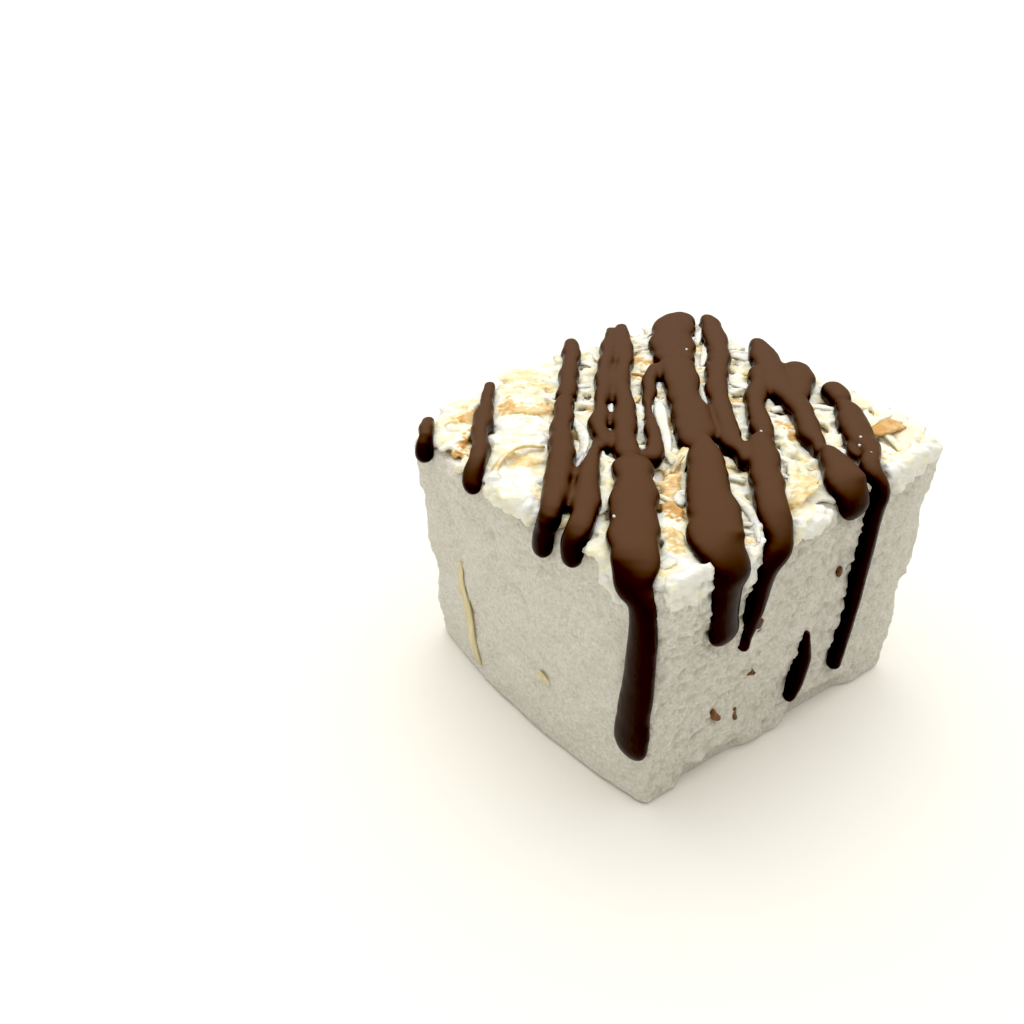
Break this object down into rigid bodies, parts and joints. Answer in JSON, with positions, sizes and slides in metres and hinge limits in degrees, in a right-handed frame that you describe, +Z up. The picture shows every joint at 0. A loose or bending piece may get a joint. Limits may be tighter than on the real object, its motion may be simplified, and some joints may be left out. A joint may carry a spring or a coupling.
{
  "type": "chocolate drizzled marshmallow",
  "caption": "Hand-cut marshmallow cube topped with flaked coconut and drizzled with melted chocolate that has run down two of its sides.",
  "frame": {"origin": "on the surface it stands on, under the centre of the bounding box", "axes": "+Z up, -Y out of the side with one long drip, +X out of the side with the most drips"},
  "size_m": [0.0522, 0.0566, 0.0386],
  "materials": {
    "marshmallow": "matt, warm white set foam with a fine open crumb where it was cut",
    "coconut": "translucent cream flakes with a faint sheen, some toasted golden at the edges",
    "chocolate": "satin dark chocolate, smooth and set"
  },
  "bodies": {
    "root": {"marshmallow": "marshmallow"}
  },
  "joints": []
}
